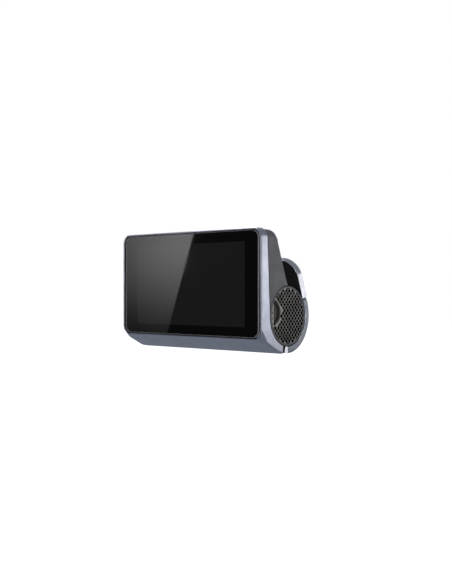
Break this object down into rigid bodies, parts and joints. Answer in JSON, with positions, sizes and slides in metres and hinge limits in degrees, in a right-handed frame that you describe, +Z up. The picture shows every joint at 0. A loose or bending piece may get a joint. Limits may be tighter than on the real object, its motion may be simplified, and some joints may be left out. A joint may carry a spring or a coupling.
{
  "type": "dash camera",
  "caption": "Windscreen dash camera: a wide touch screen in a metal frame, a round barrel with perforated ends and a tilting lens, and a stick-on bracket plate.",
  "frame": {"origin": "centre of the outer face of the adhesive pad, which is stuck to the windscreen", "axes": "+X along the screen to the driver's right, -Y the way the screen faces, +Z up"},
  "size_m": [0.0864, 0.0367, 0.0554],
  "materials": {
    "silver_metal": "silver-blue anodised metal, satin",
    "grey_shell": "dark grey moulded plastic, fine grain",
    "black_plastic": "black moulded plastic",
    "grille_metal": "perforated metal with a grey coating",
    "cover_glass": "black-printed cover glass, polished",
    "lens_glass": "coated lens glass",
    "display_panel": "display, switched off",
    "circuit_board": "solder-masked board",
    "steel": "stamped or turned steel",
    "chip_black": "moulded chip resin",
    "ceramic": "antenna ceramic",
    "flex_cable": "polyimide film",
    "rubber": "black rubber",
    "adhesive_foam": "acrylic foam tape"
  },
  "bodies": {
    "bracket": {"windscreen_plate": "silver_metal", "plate_panel": "black_plastic", "adhesive_pad": "adhesive_foam", "rear_shell": "silver_metal", "bracket_arm_left": "black_plastic", "bracket_arm_right": "black_plastic", "pivot_tube_left": "steel", "pivot_tube_right": "steel", "friction_washer_left": "rubber", "friction_washer_right": "rubber", "clamp_nut_left": "steel", "clamp_nut_right": "steel", "shell_screw_upper_left": "steel", "shell_screw_upper_right": "steel", "shell_screw_lower_left": "steel", "shell_screw_lower_right": "steel"},
    "lens_unit": {"lens_drum": "black_plastic", "lens_barrel": "black_plastic", "lens_trim_ring": "silver_metal", "front_lens": "lens_glass", "rear_lens": "lens_glass", "middle_lens": "lens_glass", "infrared_filter": "lens_glass", "image_sensor": "chip_black", "sensor_board": "circuit_board", "sensor_cable": "rubber"},
    "card": {"microsd_card": "chip_black"},
    "button": {"power_button": "grey_shell"},
    "camera": {"front_frame": "silver_metal", "back_cover": "grey_shell", "barrel_tube_left": "black_plastic", "barrel_tube_right": "black_plastic", "card_scoop": "black_plastic", "display_backlight": "black_plastic", "supercapacitor_left": "black_plastic", "supercapacitor_right": "black_plastic", "grille_left": "grille_metal", "grille_right": "grille_metal", "cover_glass": "cover_glass", "display_panel": "display_panel", "main_board": "circuit_board", "display_carrier": "steel", "heat_spreader": "steel", "usb_c_inlet": "steel", "button_switch": "steel", "card_socket": "steel", "speaker_basket": "steel", "speaker_magnet": "steel", "microphone": "steel", "board_screw_left": "steel", "board_screw_right": "steel", "processor": "chip_black", "memory_chip": "chip_black", "usb_tongue": "chip_black", "gps_antenna": "ceramic", "wifi_antenna": "flex_cable", "display_cable": "flex_cable", "thermal_pad": "rubber", "speaker_cone": "rubber"}
  },
  "joints": [
    {"name": "screen_tilt", "type": "hinge", "parent": "bracket", "child": "camera", "pos_m": [0, -0.01274, -0.01756], "axis": [1, 0, 0], "range_deg": [-18, 7]},
    {"name": "lens_tilt", "type": "hinge", "parent": "bracket", "child": "lens_unit", "pos_m": [0, -0.01274, -0.01756], "axis": [1, 0, 0], "range_deg": [-15, 15]},
    {"name": "card_slide", "type": "slide", "parent": "camera", "child": "card", "axis": [1, 0, 0], "range_m": [-0.0006, 0.014]},
    {"name": "button_press", "type": "slide", "parent": "camera", "child": "button", "axis": [1, 0, 0], "range_m": [0, 0.0004], "stiffness_N_per_m": 1500}
  ]
}
